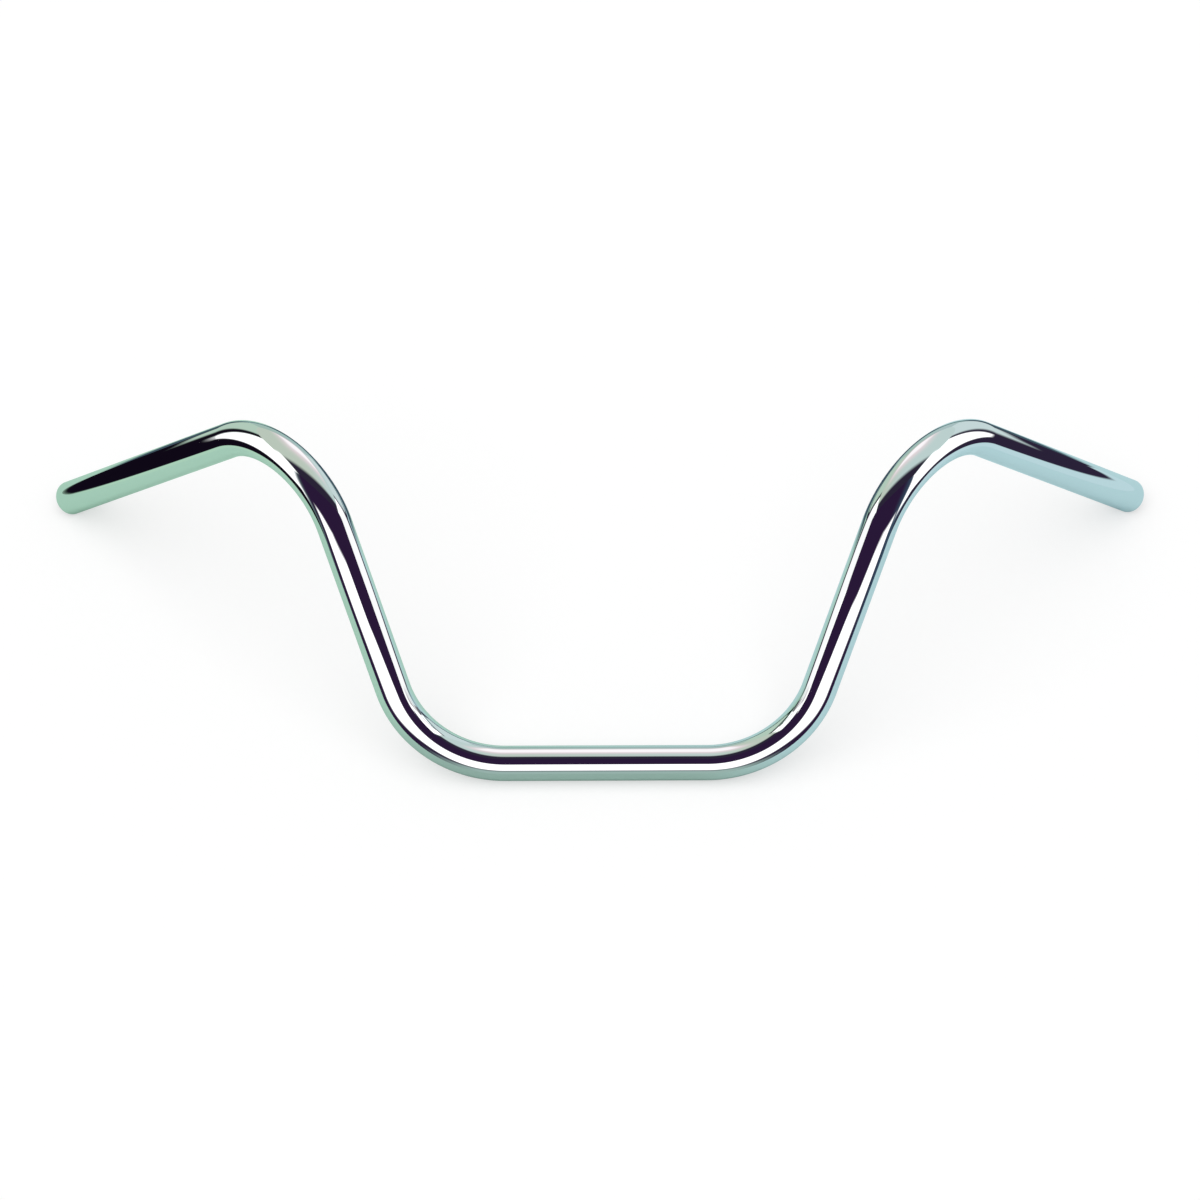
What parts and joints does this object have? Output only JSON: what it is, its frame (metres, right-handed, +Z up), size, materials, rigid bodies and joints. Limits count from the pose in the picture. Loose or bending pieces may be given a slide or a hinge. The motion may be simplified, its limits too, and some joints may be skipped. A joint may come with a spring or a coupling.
{
  "type": "motorcycle handlebar",
  "caption": "Buckhorn motorcycle handlebar: one chromed steel tube with a straight clamp section, tall risers and grips that sweep out, back and down.",
  "frame": {"origin": "on the tube's axis, in the middle of the straight clamp section", "axes": "+X along the clamp section, to the right seen from the front; +Z up as the bar lies on a bench, on its clamp section and its two grip ends; +Y back, the way the risers lean and the grips sweep"},
  "size_m": [0.8262, 0.268, 0.21],
  "materials": {
    "chrome_plate": "bright polished chrome plate on steel tube"
  },
  "bodies": {
    "root": {"handlebar_tube": "chrome_plate"}
  },
  "joints": []
}
